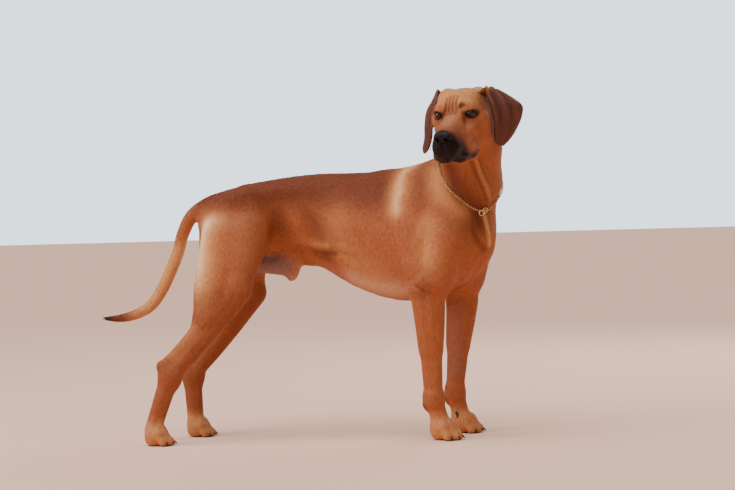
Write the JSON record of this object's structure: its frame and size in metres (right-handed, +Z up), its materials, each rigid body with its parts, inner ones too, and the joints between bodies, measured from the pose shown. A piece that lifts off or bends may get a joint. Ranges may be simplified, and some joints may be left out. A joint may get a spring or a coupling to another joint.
{
  "type": "dog",
  "caption": "Young short-haired hound standing with its head turned over its right shoulder, long tail hanging, wearing a thin chain collar; still museum-type model.",
  "frame": {"origin": "On the floor, under the middle of the model's overall box.", "axes": "+X the way the dog's body points, +Y to the dog's left, +Z up."},
  "size_m": [1.0159, 0.4847, 0.8158],
  "materials": {
    "coat": "short red wheaten fur, matt with a light sheen",
    "back": "darker reddish brown fur along the back and tail",
    "leg": "golden tan fur of the lower legs and toes",
    "ear": "very short dark liver-brown fur",
    "sheath": "thinly haired greyish pink skin",
    "nose": "moist black nose leather",
    "eye": "dark brown, wet and glossy",
    "claw": "dark horn, dull at the root",
    "chain": "polished gold coloured metal"
  },
  "bodies": {
    "root": {"chest": "coat", "loin": "back", "rump": "back", "sheath": "sheath", "neck": "coat", "head": "coat", "nose": "nose", "eye_right": "eye", "eye_left": "eye", "ear_right": "ear", "ear_left": "ear", "tail_root": "back", "tail_middle": "back", "tail_tip": "back", "thigh_right": "coat", "shank_right": "leg", "hock_right": "leg", "paw_hind_right": "leg", "claw_hind_right_1": "claw", "claw_hind_right_2": "claw", "claw_hind_right_3": "claw", "claw_hind_right_4": "claw", "thigh_left": "coat", "shank_left": "leg", "hock_left": "leg", "paw_hind_left": "leg", "claw_hind_left_1": "claw", "claw_hind_left_2": "claw", "claw_hind_left_3": "claw", "claw_hind_left_4": "claw", "forearm_right": "leg", "wrist_right": "leg", "paw_fore_right": "leg", "claw_fore_right_1": "claw", "claw_fore_right_2": "claw", "claw_fore_right_3": "claw", "claw_fore_right_4": "claw", "forearm_left": "leg", "wrist_left": "leg", "paw_fore_left": "leg", "claw_fore_left_1": "claw", "claw_fore_left_2": "claw", "claw_fore_left_3": "claw", "claw_fore_left_4": "claw", "collar_chain": "chain", "collar_ring_1": "chain", "collar_ring_2": "chain"}
  },
  "joints": []
}
